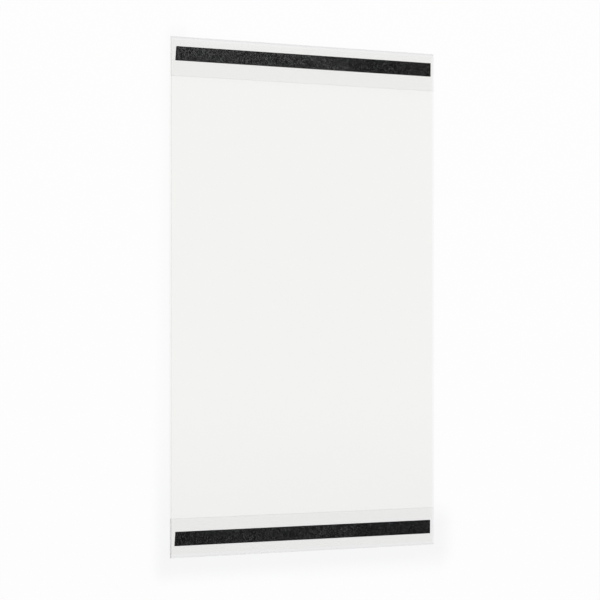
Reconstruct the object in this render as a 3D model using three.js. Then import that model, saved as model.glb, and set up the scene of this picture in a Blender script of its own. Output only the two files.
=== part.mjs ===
// A clear display pocket for an A4 sheet, held to steel by two magnetic strips.
// Millimetres, +Z up. The wall is the plane y = 0, the pocket's front faces -Y, and the
// origin is the middle of its back face.

import * as THREE from "three";

// The paper that slides in from either open end
const insertWidth = 210;
const insertHeight = 297;
const insertPlay = 1.4; // spare height between the two strips

// Front sheet: one film, folded back behind itself along the top and the bottom
const filmThickness = 0.25;
const sideMargin = 3.5; // film past the paper at each open end
const flapHeight = 25; // from the fold to the flap's free edge
const flapGap = 0.1; // between the front ply and the flap behind it
const creaseGap = 0.5; // the same just inside the fold, where the film springs open
const creaseClearance = 1.6; // from where the flap has closed in on the front ply to the strips
const foldSegments = 12;

// Magnetic strips, as long as the paper is wide, stuck down on both faces
const stripHeight = 9;
const stripThickness = 1.2;
const adhesiveThickness = 0.1;
const topStripMargin = 6.1; // from the top fold
const bottomStripMargin = 7.5; // from the bottom fold
const topStripShift = 1.3; // right of the middle
const bottomStripShift = 0.7;
const stripSkew = 0.7; // how far the left ends are cut out of square

// Back sheet
const backThickness = 0.25;
const backSideInset = 0.2; // inside the front sheet's ends
const backFoldInset = 1.8; // short of the folds

// Overall size
const sheetWidth = insertWidth + 2 * sideMargin;
const pocketHeight = insertHeight + insertPlay + 2 * stripHeight + topStripMargin + bottomStripMargin;
const topFold = pocketHeight / 2;
const creaseReach = Math.min(topStripMargin, bottomStripMargin) - creaseClearance;

// Layers, counted forward from the wall
const rearAdhesiveY = -backThickness;
const stripY = rearAdhesiveY - adhesiveThickness;
const frontAdhesiveY = stripY - stripThickness;
const flapY = frontAdhesiveY - adhesiveThickness;

const clearFilm = new THREE.MeshStandardMaterial({
  color: 0xf3f4f4,
  roughness: 0.08,
  metalness: 0,
  transparent: true,
  opacity: 0.25,
});
const clearAdhesive = new THREE.MeshStandardMaterial({
  color: 0xecece8,
  roughness: 0.35,
  metalness: 0,
  transparent: true,
  opacity: 0.3,
});
const magneticRubber = new THREE.MeshStandardMaterial({
  color: 0x29292a,
  roughness: 0.75,
  metalness: 0,
});

// The folded film's section, with x across the layers and y up the wall. Each fold is a half
// round, and from it the flap bends in to lie along the front ply.
function foldedOutline() {
  const outerRadius = filmThickness + creaseGap / 2;
  const innerRadius = creaseGap / 2;
  const frontY = flapY - filmThickness - flapGap - filmThickness;
  const bendY = frontY + outerRadius;
  const bendZ = topFold - outerRadius;
  const flapEdge = topFold - flapHeight;
  const closedZ = topFold - creaseReach;
  const middleZ = (bendZ + closedZ) / 2;
  const flapFront = flapY - filmThickness;
  const openRear = bendY + outerRadius;
  const openFront = bendY + innerRadius;
  const outline = new THREE.Shape();
  outline.moveTo(flapY, flapEdge);
  outline.lineTo(flapY, closedZ);
  outline.bezierCurveTo(flapY, middleZ, openRear, middleZ, openRear, bendZ);
  outline.absarc(bendY, bendZ, outerRadius, 0, Math.PI, false);
  outline.absarc(bendY, -bendZ, outerRadius, Math.PI, 2 * Math.PI, false);
  outline.bezierCurveTo(openRear, -middleZ, flapY, -middleZ, flapY, -closedZ);
  outline.lineTo(flapY, -flapEdge);
  outline.lineTo(flapFront, -flapEdge);
  outline.lineTo(flapFront, -closedZ);
  outline.bezierCurveTo(flapFront, -middleZ, openFront, -middleZ, openFront, -bendZ);
  outline.absarc(bendY, -bendZ, innerRadius, 2 * Math.PI, Math.PI, true);
  outline.absarc(bendY, bendZ, innerRadius, Math.PI, 0, true);
  outline.bezierCurveTo(openFront, middleZ, flapFront, middleZ, flapFront, closedZ);
  outline.lineTo(flapFront, flapEdge);
  outline.closePath();
  return outline;
}

function frontSheet() {
  const geometry = new THREE.ExtrudeGeometry(foldedOutline(), {
    depth: sheetWidth,
    bevelEnabled: false,
    curveSegments: foldSegments,
  });
  const alongY = new THREE.Vector3(0, 1, 0);
  const alongZ = new THREE.Vector3(0, 0, 1);
  const alongX = new THREE.Vector3(1, 0, 0);
  geometry.applyMatrix4(new THREE.Matrix4().makeBasis(alongY, alongZ, alongX));
  const mesh = new THREE.Mesh(geometry, clearFilm);
  mesh.name = "front_sheet";
  mesh.position.x = -sheetWidth / 2;
  return mesh;
}

function backSheet() {
  const width = sheetWidth - 2 * backSideInset;
  const height = pocketHeight - 2 * backFoldInset;
  const mesh = new THREE.Mesh(new THREE.BoxGeometry(width, backThickness, height), clearFilm);
  mesh.name = "back_sheet";
  mesh.position.y = -backThickness / 2;
  return mesh;
}

// One layer of a strip, lying forward from rearY
function stripLayer(name, shift, rearY, thickness, material) {
  const left = shift - insertWidth / 2;
  const right = shift + insertWidth / 2;
  const low = -stripHeight / 2;
  const high = stripHeight / 2;
  const outline = new THREE.Shape([
    new THREE.Vector2(left - stripSkew / 2, low),
    new THREE.Vector2(right, low),
    new THREE.Vector2(right, high),
    new THREE.Vector2(left + stripSkew / 2, high),
  ]);
  const geometry = new THREE.ExtrudeGeometry(outline, { depth: thickness, bevelEnabled: false });
  geometry.rotateX(Math.PI / 2);
  const mesh = new THREE.Mesh(geometry, material);
  mesh.name = name;
  mesh.position.y = rearY;
  return mesh;
}

// A magnetic strip between its two adhesive layers
function magneticStrip(side, shift, middleZ) {
  const strip = new THREE.Group();
  strip.add(
    stripLayer(side + "_rear_adhesive", shift, rearAdhesiveY, adhesiveThickness, clearAdhesive),
    stripLayer(side + "_magnetic_strip", shift, stripY, stripThickness, magneticRubber),
    stripLayer(side + "_front_adhesive", shift, frontAdhesiveY, adhesiveThickness, clearAdhesive),
  );
  strip.position.z = middleZ;
  return strip;
}

const pocket = new THREE.Group();
pocket.add(
  backSheet(),
  frontSheet(),
  magneticStrip("top", topStripShift, topFold - topStripMargin - stripHeight / 2),
  magneticStrip("bottom", bottomStripShift, bottomStripMargin + stripHeight / 2 - topFold),
);

export default pocket;
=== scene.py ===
# A clear A4 display pocket with two black magnetic strips, on a pale wall
import bpy
import math
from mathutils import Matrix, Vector


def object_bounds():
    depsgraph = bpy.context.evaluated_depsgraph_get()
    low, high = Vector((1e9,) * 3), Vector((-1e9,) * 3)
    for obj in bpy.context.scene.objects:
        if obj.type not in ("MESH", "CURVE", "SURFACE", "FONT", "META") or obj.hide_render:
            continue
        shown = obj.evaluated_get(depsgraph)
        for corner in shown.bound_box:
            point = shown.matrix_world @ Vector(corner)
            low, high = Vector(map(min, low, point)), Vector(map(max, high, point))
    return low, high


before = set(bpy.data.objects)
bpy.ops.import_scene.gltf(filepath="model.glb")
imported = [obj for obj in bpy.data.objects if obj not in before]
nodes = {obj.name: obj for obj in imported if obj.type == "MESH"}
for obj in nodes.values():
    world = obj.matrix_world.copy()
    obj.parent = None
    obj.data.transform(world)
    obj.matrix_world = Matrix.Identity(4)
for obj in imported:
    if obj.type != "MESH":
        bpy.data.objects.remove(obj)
cadLow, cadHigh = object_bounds()
scene = bpy.context.scene
scene.view_settings.view_transform = "Standard"
millimetre = 0.001  # the scene is in metres, and the sizes in the dictionaries are in millimetres
print("loaded", len(nodes), "nodes")


def linear(hexCode):  # sRGB hex to the linear values that Blender shades with
    shares = [int(hexCode[i:i + 2], 16) / 255 for i in (1, 3, 5)]
    return [s / 12.92 if s <= 0.04045 else ((s + 0.055) / 1.055) ** 2.4 for s in shares] + [1.0]


def perMillimetre(size):  # texture scale at which one cell of a pattern is so many millimetres
    return 1 / (size * millimetre)


# Inputs go by name or number. Each is a value, a socket, or a node, whose first output is meant.
def addNode(tree, kind, inputs=None, **settings):
    node = tree.nodes.new(kind)
    for name, value in settings.items():
        setattr(node, name, value)
    for key, value in (inputs or {}).items():
        if isinstance(value, bpy.types.Node):
            value = value.outputs[0]
        if isinstance(value, bpy.types.NodeSocket):
            tree.links.new(value, node.inputs[key])
        else:
            node.inputs[key].default_value = value
    return node


def newMaterial(name):
    material = bpy.data.materials.new(name)
    material.use_nodes = True
    material.node_tree.nodes.clear()
    return material, material.node_tree


# Camera, to the left of the pocket and a little below its middle
cameraLook = {
    "lens": 190.4,
    "left": 1272.4,
    "forward": 1633,  # from the pocket's front face
    "below": 21.9,
    "turn": 37.803,  # degrees to the right of straight at the wall
    "tilt": 0.571,  # degrees up from level
}


def addCamera(look):
    data = bpy.data.cameras.new("pocketCamera")
    data.lens = look["lens"]
    camera = bpy.data.objects.new("pocketCamera", data)
    camera.location = (
        -look["left"] * millimetre,
        cadLow.y - look["forward"] * millimetre,
        -look["below"] * millimetre,
    )
    turn = math.radians(look["turn"])
    tilt = math.radians(look["tilt"])
    heading = Vector((math.sin(turn), math.cos(turn), math.tan(tilt)))
    camera.rotation_mode = "QUATERNION"
    camera.rotation_quaternion = heading.to_track_quat("-Z", "Y")
    scene.collection.objects.link(camera)
    scene.camera = camera


addCamera(cameraLook)
print("camera set")


# World, white for the lens, gloss and clear bodies, and dimmer for matt surfaces
worldLook = {
    "white": "#fefefe",
    "ambient": 0.55,  # its strength for matt surfaces
}


def whiteForLens(tree):  # 1 for rays from the lens, a gloss or a clear body, and 0 for the rest
    path = addNode(tree, "ShaderNodeLightPath")
    seen = addNode(tree, "ShaderNodeMath", {
        0: path.outputs["Is Camera Ray"],
        1: path.outputs["Is Glossy Ray"],
    }, operation="MAXIMUM")
    return addNode(tree, "ShaderNodeMath", {
        0: seen,
        1: path.outputs["Is Transmission Ray"],
    }, operation="MAXIMUM")


def addWorld(look):
    world = bpy.data.worlds.new("studioWhite")
    scene.world = world
    world.use_nodes = True
    tree = world.node_tree
    tree.nodes.clear()
    tone = linear(look["white"])
    dim = addNode(tree, "ShaderNodeBackground", {"Color": tone, "Strength": look["ambient"]})
    white = addNode(tree, "ShaderNodeBackground", {"Color": tone, "Strength": 1.0})
    mixed = addNode(tree, "ShaderNodeMixShader", {0: whiteForLens(tree), 1: dim, 2: white})
    addNode(tree, "ShaderNodeOutputWorld", {"Surface": mixed})


def litAndGlowing(tree, tone, share):  # a share of the tone takes the lamps' light and shadows
    paint = addNode(tree, "ShaderNodeBsdfDiffuse", {"Color": tone})
    glow = addNode(tree, "ShaderNodeEmission", {"Color": tone, "Strength": whiteForLens(tree)})
    return addNode(tree, "ShaderNodeMixShader", {0: share, 1: glow, 2: paint})


# A flat panel, whose front faces along the cross product of across and up
def addPanel(name, middle, across, up, material):
    corners = [-across - up, across - up, across + up, up - across]
    mesh = bpy.data.meshes.new(name)
    mesh.from_pydata(corners, [], [(0, 1, 2, 3)])
    mesh.materials.append(material)
    panel = bpy.data.objects.new(name, mesh)
    panel.location = middle
    scene.collection.objects.link(panel)
    return panel


# Wall
wallLook = {
    "paint": worldLook["white"],  # the same, so that the wall's edges don't show
    "litShare": 0.03,  # share of its tone that takes the lamps' light and shadows
    "gap": 0.3,  # behind the pocket's back
    "width": 5000,
    "height": 3000,
}

# The pocket's soft shadow, painted into the wall's tone, deeper and wider at the foot. It is made
# of blocks, with the sides of each counted from the pocket's middle and its edges blurred
# outwards.
paintedShadowLook = {
    "topTone": "#fbfbfb",
    "footTone": "#f7f7f8",
    "ramp": 105,  # height over which it deepens at the foot
    "lean": 0.021,  # of the leaning blocks, sideways for each millimetre up
    "leaning": (
        {"left": -107.5, "right": 96, "foot": -170.5, "top": 156, "blur": 14},
        {"left": -107.5, "right": -103, "foot": 0, "top": 165, "blur": 12},
        {"left": 0, "right": 116, "foot": -167.5, "top": -152, "blur": 20},
    ),
    "upright": {"left": 0, "right": 109.9, "foot": -163.5, "top": 163.5, "blur": 1},
}


def softBlock(tree, point, block):  # 1 inside a block of the wall's painted shadow, falling to 0 round it
    middle = Vector((block["left"] + block["right"], 0, block["foot"] + block["top"]))
    depth = 1  # the wall has none, so any that is above 0 does
    size = Vector((block["right"] - block["left"], depth, block["top"] - block["foot"]))
    offset = addNode(tree, "ShaderNodeVectorMath", {
        0: point,
        1: middle * millimetre / 2,
    }, operation="SUBTRACT")
    mirrored = addNode(tree, "ShaderNodeVectorMath", {0: offset}, operation="ABSOLUTE")
    beyond = addNode(tree, "ShaderNodeVectorMath", {
        0: mirrored,
        1: size * millimetre / 2,
    }, operation="SUBTRACT")
    outside = addNode(tree, "ShaderNodeVectorMath", {0: beyond}, operation="MAXIMUM")
    away = addNode(tree, "ShaderNodeVectorMath", {0: outside}, operation="LENGTH")
    return addNode(tree, "ShaderNodeMapRange", {
        "Value": away.outputs["Value"],
        "From Max": block["blur"] * millimetre,
        "To Min": 1.0,
        "To Max": 0.0,
    }, interpolation_type="SMOOTHSTEP")


# The wall's white, with the pocket's soft shadow painted into it as a darker tone
def wallTone(tree, paint, shadow):
    place = addNode(tree, "ShaderNodeTexCoord")
    point = addNode(tree, "ShaderNodeSeparateXYZ", {0: place.outputs["Object"]})
    sheared = addNode(tree, "ShaderNodeMath", {
        0: point.outputs["Z"],
        1: -shadow["lean"],
        2: point.outputs["X"],
    }, operation="MULTIPLY_ADD")
    leaning = addNode(tree, "ShaderNodeCombineXYZ", {"X": sheared, "Z": point.outputs["Z"]})
    depth = softBlock(tree, place.outputs["Object"], shadow["upright"])
    for block in shadow["leaning"]:
        depth = addNode(tree, "ShaderNodeMath", {
            0: depth,
            1: softBlock(tree, leaning, block),
        }, operation="MAXIMUM")
    height = addNode(tree, "ShaderNodeMapRange", {
        "Value": point.outputs["Z"],
        "From Min": cadLow.z,
        "From Max": cadLow.z + shadow["ramp"] * millimetre,
    }, interpolation_type="SMOOTHSTEP")
    shade = addNode(tree, "ShaderNodeMix", {
        0: height,
        6: linear(shadow["footTone"]),
        7: linear(shadow["topTone"]),
    }, data_type="RGBA")
    return addNode(tree, "ShaderNodeMix", {
        0: depth,
        6: linear(paint),
        7: shade.outputs[2],
    }, data_type="RGBA").outputs[2]


def paintedWall(look):
    # Plaster, rolled with white wall paint: matt and even, so that only the pocket's shadow,
    # painted into its tone, shows on it.
    # Its back is seen through, so that the pocket's back shows.
    material, tree = newMaterial("painted plaster, white")
    front = litAndGlowing(tree, wallTone(tree, look["paint"], paintedShadowLook), look["litShare"])
    side = addNode(tree, "ShaderNodeNewGeometry")
    back = addNode(tree, "ShaderNodeBsdfTransparent")
    shown = addNode(tree, "ShaderNodeMixShader", {
        0: side.outputs["Backfacing"],
        1: front,
        2: back,
    })
    addNode(tree, "ShaderNodeOutputMaterial", {"Surface": shown})
    return material


def addWall(look):
    wall = addPanel(
        "wall",
        Vector((0, cadHigh.y + look["gap"] * millimetre, 0)),
        Vector((look["width"] * millimetre / 2, 0, 0)),
        Vector((0, 0, look["height"] * millimetre / 2)),
        paintedWall(look),
    )
    wall.visible_glossy = False  # gloss sees the cards instead


# Floor
floorLook = {
    "tones": ("#f7f7f6", "#fafafa"),
    "cloudSize": 250,
    "litShare": 0.12,  # share of its tone that takes the lamps' light and shadows
    "depth": 600,  # below the pocket's middle
    "size": 14000,
}


def paleFloor(look):
    # Cement screed, trowelled and sealed: pale and matt, with broad faint clouds
    material, tree = newMaterial("sealed screed, pale")
    place = addNode(tree, "ShaderNodeTexCoord")
    clouds = addNode(tree, "ShaderNodeTexNoise", {
        "Vector": place.outputs["Object"],
        "Scale": perMillimetre(look["cloudSize"]),
    })
    tone = addNode(tree, "ShaderNodeMix", {
        0: clouds,
        6: linear(look["tones"][0]),
        7: linear(look["tones"][1]),
    }, data_type="RGBA")
    surface = litAndGlowing(tree, tone.outputs[2], look["litShare"])
    addNode(tree, "ShaderNodeOutputMaterial", {"Surface": surface})
    return material


def addFloor(look):
    half = look["size"] * millimetre / 2
    floor = addPanel(
        "floor",
        Vector((0, 0, -look["depth"] * millimetre)),
        Vector((half, 0, 0)),
        Vector((0, half, 0)),
        paleFloor(look),
    )
    floor.visible_glossy = False  # as with the wall


# Dark cards before and behind the pocket, glowing a grey of their own. Only gloss sees them, a
# painted reflection that makes clear film show.
cardLook = {
    "tones": ("#444444", "#4c4c4c"),
    "weave": 1.5,  # coarser than the threads, and still blurred to an even grey by the gloss
    "distance": 2700,
    "size": 14000,
}


def darkGlowingCard(look):
    # Glows a flat dark grey as a painted reflection, with a faint weave like napped cotton flag
    # cloth
    material, tree = newMaterial("glowing card, black")
    place = addNode(tree, "ShaderNodeTexCoord")
    weave = addNode(tree, "ShaderNodeTexNoise", {
        "Vector": place.outputs["Object"],
        "Scale": perMillimetre(look["weave"]),
    })
    tone = addNode(tree, "ShaderNodeMix", {
        0: weave,
        6: linear(look["tones"][0]),
        7: linear(look["tones"][1]),
    }, data_type="RGBA")
    glow = addNode(tree, "ShaderNodeEmission", {"Color": tone.outputs[2]})
    addNode(tree, "ShaderNodeOutputMaterial", {"Surface": glow})
    return material


def addCards(look):
    cloth = darkGlowingCard(look)
    half = look["size"] * millimetre / 2
    for name, way in (("frontCard", -1), ("rearCard", 1)):
        card = addPanel(
            name,
            Vector((0, way * look["distance"] * millimetre, 0)),
            Vector((half, 0, 0)),
            Vector((0, 0, half)),
            cloth,
        )
        card.visible_camera = False
        card.visible_diffuse = False
        card.visible_shadow = False
        card.visible_transmission = False


# Soft lamps, aimed at the pocket's middle
lampLooks = (
    {"name": "topLamp", "place": (-700, -1500, 2000), "size": 900, "power": 35},
    {"name": "sideLamp", "place": (2200, -900, 700), "size": 900, "power": 22},
)


def addLamp(look):
    data = bpy.data.lights.new(look["name"], "AREA")
    data.shape = "SQUARE"
    data.size = look["size"] * millimetre
    data.energy = look["power"]
    lamp = bpy.data.objects.new(look["name"], data)
    lamp.location = Vector(look["place"]) * millimetre
    lamp.rotation_mode = "QUATERNION"
    lamp.rotation_quaternion = (-lamp.location).to_track_quat("-Z", "Y")
    scene.collection.objects.link(lamp)


addWorld(worldLook)
addWall(wallLook)
addFloor(floorLook)
addCards(cardLook)
for lampLook in lampLooks:
    addLamp(lampLook)
print("studio set")


# Clear films. Heights are from the pocket's middle, up and down alike.
filmLook = {
    "ior": 1.46,
    "grazingPower": 5.0,  # how steeply the mirrored share grows as a face turns edge-on
    "roughness": 0.07,
    "waveSize": 60,
    "waveDetail": 1.0,
    "waveBump": 0.04,
    "waveDepth": 1,
    "faceTint": "#ffffff",  # what each face lets through
    "flapTint": "#fefefe",
    "flapFront": -1.95,  # between the front ply and the flap behind it, in depth
    "flapEdge": (139.9, 140.5),  # heights between which a flap's free edge is drawn
    "bend": (162.8, 164.4),  # heights over which painted shade deepens into a fold
    "bendShade": "#fbfbfb",
    "bendPower": 2.0,
    "footBendShare": 0.5,  # of the fold's painted shade at the foot, rising to all of it at the top
    "cutTone": "#b4b4b5",
    "cutFacing": 0.5,  # a face turned further sideways than this is a cut end
    "cutShow": 0.5,  # share of frost on the cut ends
    "footCutShowAndShade": 0.9,  # the same from the bottom flap's edge down, raised there as painted shade
    "topFlapCutShare": 0.4,  # of that on the top flap
    "flapEdgeShow": 0.035,  # of what the cut ends show
}

# Where the back film differs
backFilmLook = {
    "ior": 1.4,
    "faceTint": "#fffffe",
    "flapTint": "#fffffe",
    "cutShow": 0.06,
    "footCutShowAndShade": 0.15,
}


def mirroredShare(tree, look):  # small on a face seen head-on, and all of the light edge-on
    headOn = ((look["ior"] - 1) / (look["ior"] + 1)) ** 2
    facing = addNode(tree, "ShaderNodeLayerWeight", {"Blend": 0.5})  # 0.5 leaves Facing unbent
    grazing = addNode(tree, "ShaderNodeMath", {
        0: facing.outputs["Facing"],
        1: look["grazingPower"],
    }, operation="POWER")
    return addNode(tree, "ShaderNodeMath", {
        0: grazing,
        1: 1 - headOn,
        2: headOn,
    }, operation="MULTIPLY_ADD")


def wavyGloss(tree, place, look):  # sharp, on a faintly wavy face
    wave = addNode(tree, "ShaderNodeTexNoise", {
        "Vector": place.outputs["Object"],
        "Scale": perMillimetre(look["waveSize"]),
        "Detail": look["waveDetail"],
    })
    bump = addNode(tree, "ShaderNodeBump", {
        "Height": wave,
        "Strength": look["waveBump"],
        "Distance": look["waveDepth"] * millimetre,
    })
    return addNode(tree, "ShaderNodeBsdfGlossy", {
        "Roughness": look["roughness"],
        "Normal": bump,
    })


def throughTint(tree, point, height, onFlap, look):  # a little darker in the flaps, and painted shade along the folds
    intoBend = addNode(tree, "ShaderNodeMapRange", {
        "Value": height,
        "From Min": look["bend"][0] * millimetre,
        "From Max": look["bend"][1] * millimetre,
    })
    bent = addNode(tree, "ShaderNodeMath", {
        0: intoBend,
        1: look["bendPower"],
    }, operation="POWER")
    bendShare = addNode(tree, "ShaderNodeMapRange", {
        "Value": point.outputs["Z"],
        "From Min": -look["flapEdge"][0] * millimetre,
        "From Max": look["flapEdge"][0] * millimetre,
        "To Min": look["footBendShare"],
        "To Max": 1.0,
    })
    bendDepth = addNode(tree, "ShaderNodeMath", {0: bent, 1: bendShare}, operation="MULTIPLY")
    flat = addNode(tree, "ShaderNodeMix", {
        0: onFlap,
        6: linear(look["faceTint"]),
        7: linear(look["flapTint"]),
    }, data_type="RGBA")
    return addNode(tree, "ShaderNodeMix", {
        0: bendDepth,
        6: flat.outputs[2],
        7: linear(look["bendShade"]),
    }, data_type="RGBA").outputs[2]


def frostedShare(tree, point, height, onFlap, isCut, look):  # on cut ends and flaps' free edges, deeper at the foot as painted shade
    cutShow = addNode(tree, "ShaderNodeMapRange", {
        "Value": point.outputs["Z"],
        "From Min": -look["flapEdge"][1] * millimetre,
        "From Max": -look["flapEdge"][0] * millimetre,
        "To Min": look["footCutShowAndShade"],
        "To Max": look["cutShow"],
    })
    upperHalf = addNode(tree, "ShaderNodeMath", {
        0: point.outputs["Z"],
        1: 0.0,
    }, operation="GREATER_THAN")
    topFlap = addNode(tree, "ShaderNodeMath", {0: upperHalf, 1: onFlap}, operation="MULTIPLY")
    kept = addNode(tree, "ShaderNodeMapRange", {
        "Value": topFlap,
        "To Min": 1.0,
        "To Max": look["topFlapCutShare"],
    })
    endShow = addNode(tree, "ShaderNodeMath", {0: cutShow, 1: kept}, operation="MULTIPLY")
    ends = addNode(tree, "ShaderNodeMath", {0: isCut, 1: endShow}, operation="MULTIPLY")
    nearEdge = addNode(tree, "ShaderNodeMath", {
        0: height,
        1: look["flapEdge"][1] * millimetre,
    }, operation="LESS_THAN")
    freeEdge = addNode(tree, "ShaderNodeMath", {0: onFlap, 1: nearEdge}, operation="MULTIPLY")
    faint = addNode(tree, "ShaderNodeMath", {
        0: cutShow,
        1: look["flapEdgeShow"],
    }, operation="MULTIPLY")
    edges = addNode(tree, "ShaderNodeMath", {0: freeEdge, 1: faint}, operation="MULTIPLY")
    return addNode(tree, "ShaderNodeMath", {0: ends, 1: edges}, operation="MAXIMUM")


def clearFilm(name, look):
    # Clear plastic film, extruded and polished by rollers: colourless, with a sharp gloss that
    # wavers a little, grey lines where the knife left the cut ends frosted, deeper at the foot as
    # painted shade, and a painted shade line along each fold
    material, tree = newMaterial(name)
    place = addNode(tree, "ShaderNodeTexCoord")
    point = addNode(tree, "ShaderNodeSeparateXYZ", {0: place.outputs["Object"]})
    height = addNode(tree, "ShaderNodeMath", {0: point.outputs["Z"]}, operation="ABSOLUTE")
    pastEdge = addNode(tree, "ShaderNodeMath", {
        0: height,
        1: look["flapEdge"][0] * millimetre,
    }, operation="GREATER_THAN")
    behind = addNode(tree, "ShaderNodeMath", {
        0: point.outputs["Y"],
        1: look["flapFront"] * millimetre,
    }, operation="GREATER_THAN")
    onFlap = addNode(tree, "ShaderNodeMath", {0: pastEdge, 1: behind}, operation="MULTIPLY")
    side = addNode(tree, "ShaderNodeNewGeometry")
    outside = addNode(tree, "ShaderNodeMath", {
        0: 1.0,
        1: side.outputs["Backfacing"],
    }, operation="SUBTRACT")
    slant = addNode(tree, "ShaderNodeSeparateXYZ", {0: place.outputs["Normal"]})
    sideways = addNode(tree, "ShaderNodeMath", {0: slant.outputs["X"]}, operation="ABSOLUTE")
    endOn = addNode(tree, "ShaderNodeMath", {
        0: sideways,
        1: look["cutFacing"],
    }, operation="GREATER_THAN")
    isCut = addNode(tree, "ShaderNodeMath", {0: endOn, 1: outside}, operation="MULTIPLY")

    # clear plastic with gloss on its outer faces alone
    clear = addNode(tree, "ShaderNodeBsdfTransparent", {
        "Color": throughTint(tree, point, height, onFlap, look),
    })
    share = addNode(tree, "ShaderNodeMath", {
        0: mirroredShare(tree, look),
        1: outside,
    }, operation="MULTIPLY")
    gloss = wavyGloss(tree, place, look)
    polished = addNode(tree, "ShaderNodeMixShader", {0: share, 1: clear, 2: gloss})

    # no gloss on the cut ends, and frost there and on the flaps' free edges, deeper at the foot
    # as painted shade
    bare = addNode(tree, "ShaderNodeMixShader", {0: isCut, 1: polished, 2: clear})
    frosted = addNode(tree, "ShaderNodeBsdfDiffuse", {"Color": linear(look["cutTone"])})
    whole = addNode(tree, "ShaderNodeMixShader", {
        0: frostedShare(tree, point, height, onFlap, isCut, look),
        1: bare,
        2: frosted,
    })
    addNode(tree, "ShaderNodeOutputMaterial", {"Surface": whole})
    return material


# Magnetic strips
stripLook = {
    "rubber": "#232324",
    "grain": "#424244",
    "grainSize": 1.15,  # the powder is far finer, and this is as coarse as it needs to show
    "grainDetail": 2.0,
    "grainSpan": (0.4, 0.72),  # noise at which the grain starts, and at which it is full
    "grainBump": 0.3,
    "grainDepth": 0.1,
    "roughness": 0.6,
}


def magneticRubber(look):
    # Ferrite powder in rubber, rolled to a strip and slit: near black and matt, with a fine grain
    material, tree = newMaterial("ferrite rubber, rolled")
    place = addNode(tree, "ShaderNodeTexCoord")
    grain = addNode(tree, "ShaderNodeTexNoise", {
        "Vector": place.outputs["Object"],
        "Scale": perMillimetre(look["grainSize"]),
        "Detail": look["grainDetail"],
    })
    grit = addNode(tree, "ShaderNodeMapRange", {
        "Value": grain,
        "From Min": look["grainSpan"][0],
        "From Max": look["grainSpan"][1],
    })
    tone = addNode(tree, "ShaderNodeMix", {
        0: grit,
        6: linear(look["rubber"]),
        7: linear(look["grain"]),
    }, data_type="RGBA")
    bump = addNode(tree, "ShaderNodeBump", {
        "Height": grain,
        "Strength": look["grainBump"],
        "Distance": look["grainDepth"] * millimetre,
    })
    rubber = addNode(tree, "ShaderNodeBsdfPrincipled", {
        "Base Color": tone.outputs[2],
        "Roughness": look["roughness"],
        "Normal": bump,
    })
    addNode(tree, "ShaderNodeOutputMaterial", {"Surface": rubber})
    return material


# Adhesive layers, before and behind each strip
adhesiveLook = {
    "speck": "#9a9b9b",
    "speckSize": 1.15,  # the bubbles are finer, and this is as coarse as they need to show
    "speckDetail": 2.0,
    "speckRoughness": 0.6,
    "patchSize": 7,
    "patchDetail": 1.0,
    "patchShare": 0.06,  # of a patch's noise, added to that of the specks
    "drySpan": (0.455, 0.8),  # noise at which the specks start, and at which they are full
    # dryMost is how far a full speck stands out of the haze, and the pair after it is that haze
    # at the
    # left and right ends: partly the tape's own clouding, and partly painted sheen that lightens
    # the strips, more at one end than the other
    "top": {"dryMost": 0.42, "endHazeAndSheen": (0.152, 0.095)},
    "bottom": {"dryMost": 0.29, "endHazeAndSheen": (0.063, 0.11)},
}


def clearAdhesive(edge, look):
    # Acrylic transfer tape, pressed on by roller: clear where it has wetted out, with pale specks
    # where small bubbles stayed under it, over a pale haze that is partly painted sheen on the
    # strips
    material, tree = newMaterial("acrylic transfer tape, " + edge)
    dryMost, endHazeAndSheen = look[edge]["dryMost"], look[edge]["endHazeAndSheen"]
    place = addNode(tree, "ShaderNodeTexCoord")
    bubbles = addNode(tree, "ShaderNodeTexNoise", {
        "Vector": place.outputs["Object"],
        "Scale": perMillimetre(look["speckSize"]),
        "Detail": look["speckDetail"],
        "Roughness": look["speckRoughness"],
    })
    patches = addNode(tree, "ShaderNodeTexNoise", {
        "Vector": place.outputs["Object"],
        "Scale": perMillimetre(look["patchSize"]),
        "Detail": look["patchDetail"],
    })
    noise = addNode(tree, "ShaderNodeMath", {
        0: patches,
        1: look["patchShare"],
        2: bubbles,
    }, operation="MULTIPLY_ADD")
    point = addNode(tree, "ShaderNodeSeparateXYZ", {0: place.outputs["Object"]})
    hazeAndSheen = addNode(tree, "ShaderNodeMapRange", {
        "Value": point.outputs["X"],
        "From Min": cadLow.x,
        "From Max": cadHigh.x,
        "To Min": endHazeAndSheen[0],
        "To Max": endHazeAndSheen[1],
    })
    most = addNode(tree, "ShaderNodeMath", {0: hazeAndSheen, 1: dryMost}, operation="ADD")
    dry = addNode(tree, "ShaderNodeMapRange", {
        "Value": noise,
        "From Min": look["drySpan"][0],
        "From Max": look["drySpan"][1],
        "To Min": hazeAndSheen,
        "To Max": most,
    })
    clear = addNode(tree, "ShaderNodeBsdfTransparent")
    pale = addNode(tree, "ShaderNodeBsdfDiffuse", {"Color": linear(look["speck"])})
    layer = addNode(tree, "ShaderNodeMixShader", {0: dry, 1: clear, 2: pale})
    addNode(tree, "ShaderNodeOutputMaterial", {"Surface": layer})
    return material


def dress(name, material):  # a CAD piece keeps its mesh and takes this material
    mesh = nodes[name].data
    mesh.materials.clear()
    mesh.materials.append(material)


dress("front_sheet", clearFilm("polyester film, front", filmLook))
dress("back_sheet", clearFilm("polypropylene film, back", {**filmLook, **backFilmLook}))
for edge in ("top", "bottom"):
    dress(edge + "_magnetic_strip", magneticRubber(stripLook))
    tape = clearAdhesive(edge, adhesiveLook)
    for layer in ("front", "rear"):
        dress(edge + "_" + layer + "_adhesive", tape)
print("materials set")
